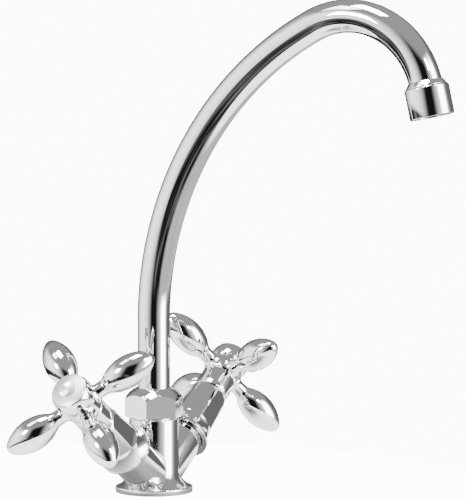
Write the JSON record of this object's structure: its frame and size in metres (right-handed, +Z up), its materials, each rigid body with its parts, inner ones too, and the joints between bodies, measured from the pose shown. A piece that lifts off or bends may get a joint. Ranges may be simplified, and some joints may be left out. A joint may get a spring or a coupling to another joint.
{
  "type": "two handle kitchen faucet",
  "caption": "Two handle kitchen faucet with a high swivelling spout, raked valve branches and cross handles on a single round deck base.",
  "frame": {"origin": "centre of the flange's flat underside, on the deck", "axes": "+Z up along the column and the spout's swivel axis, -Y from the column towards the outlet in the stored pose, -X towards the hot handle"},
  "size_m": [0.2274, 0.2507, 0.3062],
  "materials": {
    "chrome": "polished chrome plate",
    "brass": "machined",
    "stainless": "bright",
    "ceramic": "lapped ceramic",
    "seal_rubber": "matte",
    "slip_plastic": "matte",
    "insert_plastic": "matte",
    "button_white": "glossy"
  },
  "bodies": {
    "deck_body": {"body_casting": "chrome", "spout_nut": "chrome", "base_gasket": "seal_rubber", "lower_slip_ring": "slip_plastic", "upper_slip_ring": "slip_plastic", "hot_valve_body": "brass", "hot_valve_washer": "slip_plastic", "hot_bonnet_shroud": "chrome", "hot_seat_seal": "seal_rubber", "hot_lower_disc": "ceramic", "cold_valve_body": "brass", "cold_valve_washer": "slip_plastic", "cold_bonnet_shroud": "chrome", "cold_seat_seal": "seal_rubber", "cold_lower_disc": "ceramic"},
    "spout": {"spout_tube": "chrome", "spout_spigot": "brass", "spout_o_rings": "seal_rubber", "outlet_ferrule": "chrome", "aerator_housing": "chrome", "aerator_washer": "seal_rubber", "aerator_insert": "insert_plastic", "aerator_screen": "stainless"},
    "hot_handle": {"hot_cross_handle": "chrome", "hot_index_button": "button_white", "hot_handle_screw": "stainless", "hot_spindle": "brass", "hot_spindle_o_rings": "seal_rubber", "hot_circlip": "stainless", "hot_upper_disc": "ceramic"},
    "cold_handle": {"cold_cross_handle": "chrome", "cold_index_button": "button_white", "cold_handle_screw": "stainless", "cold_spindle": "brass", "cold_spindle_o_rings": "seal_rubber", "cold_circlip": "stainless", "cold_upper_disc": "ceramic"}
  },
  "joints": [
    {"name": "spout_swivel", "type": "hinge", "parent": "deck_body", "child": "spout", "pos_m": [0, 0, 0.057], "axis": [0, 0, 1], "continuous": true},
    {"name": "hot_handle_turn", "type": "hinge", "parent": "deck_body", "child": "hot_handle", "pos_m": [0, 0, 0.0065], "axis": [-0.829, 0, 0.5592], "range_deg": [0, 90]},
    {"name": "cold_handle_turn", "type": "hinge", "parent": "deck_body", "child": "cold_handle", "pos_m": [0, 0, 0.0065], "axis": [0.829, 0, 0.5592], "range_deg": [0, 90]}
  ]
}
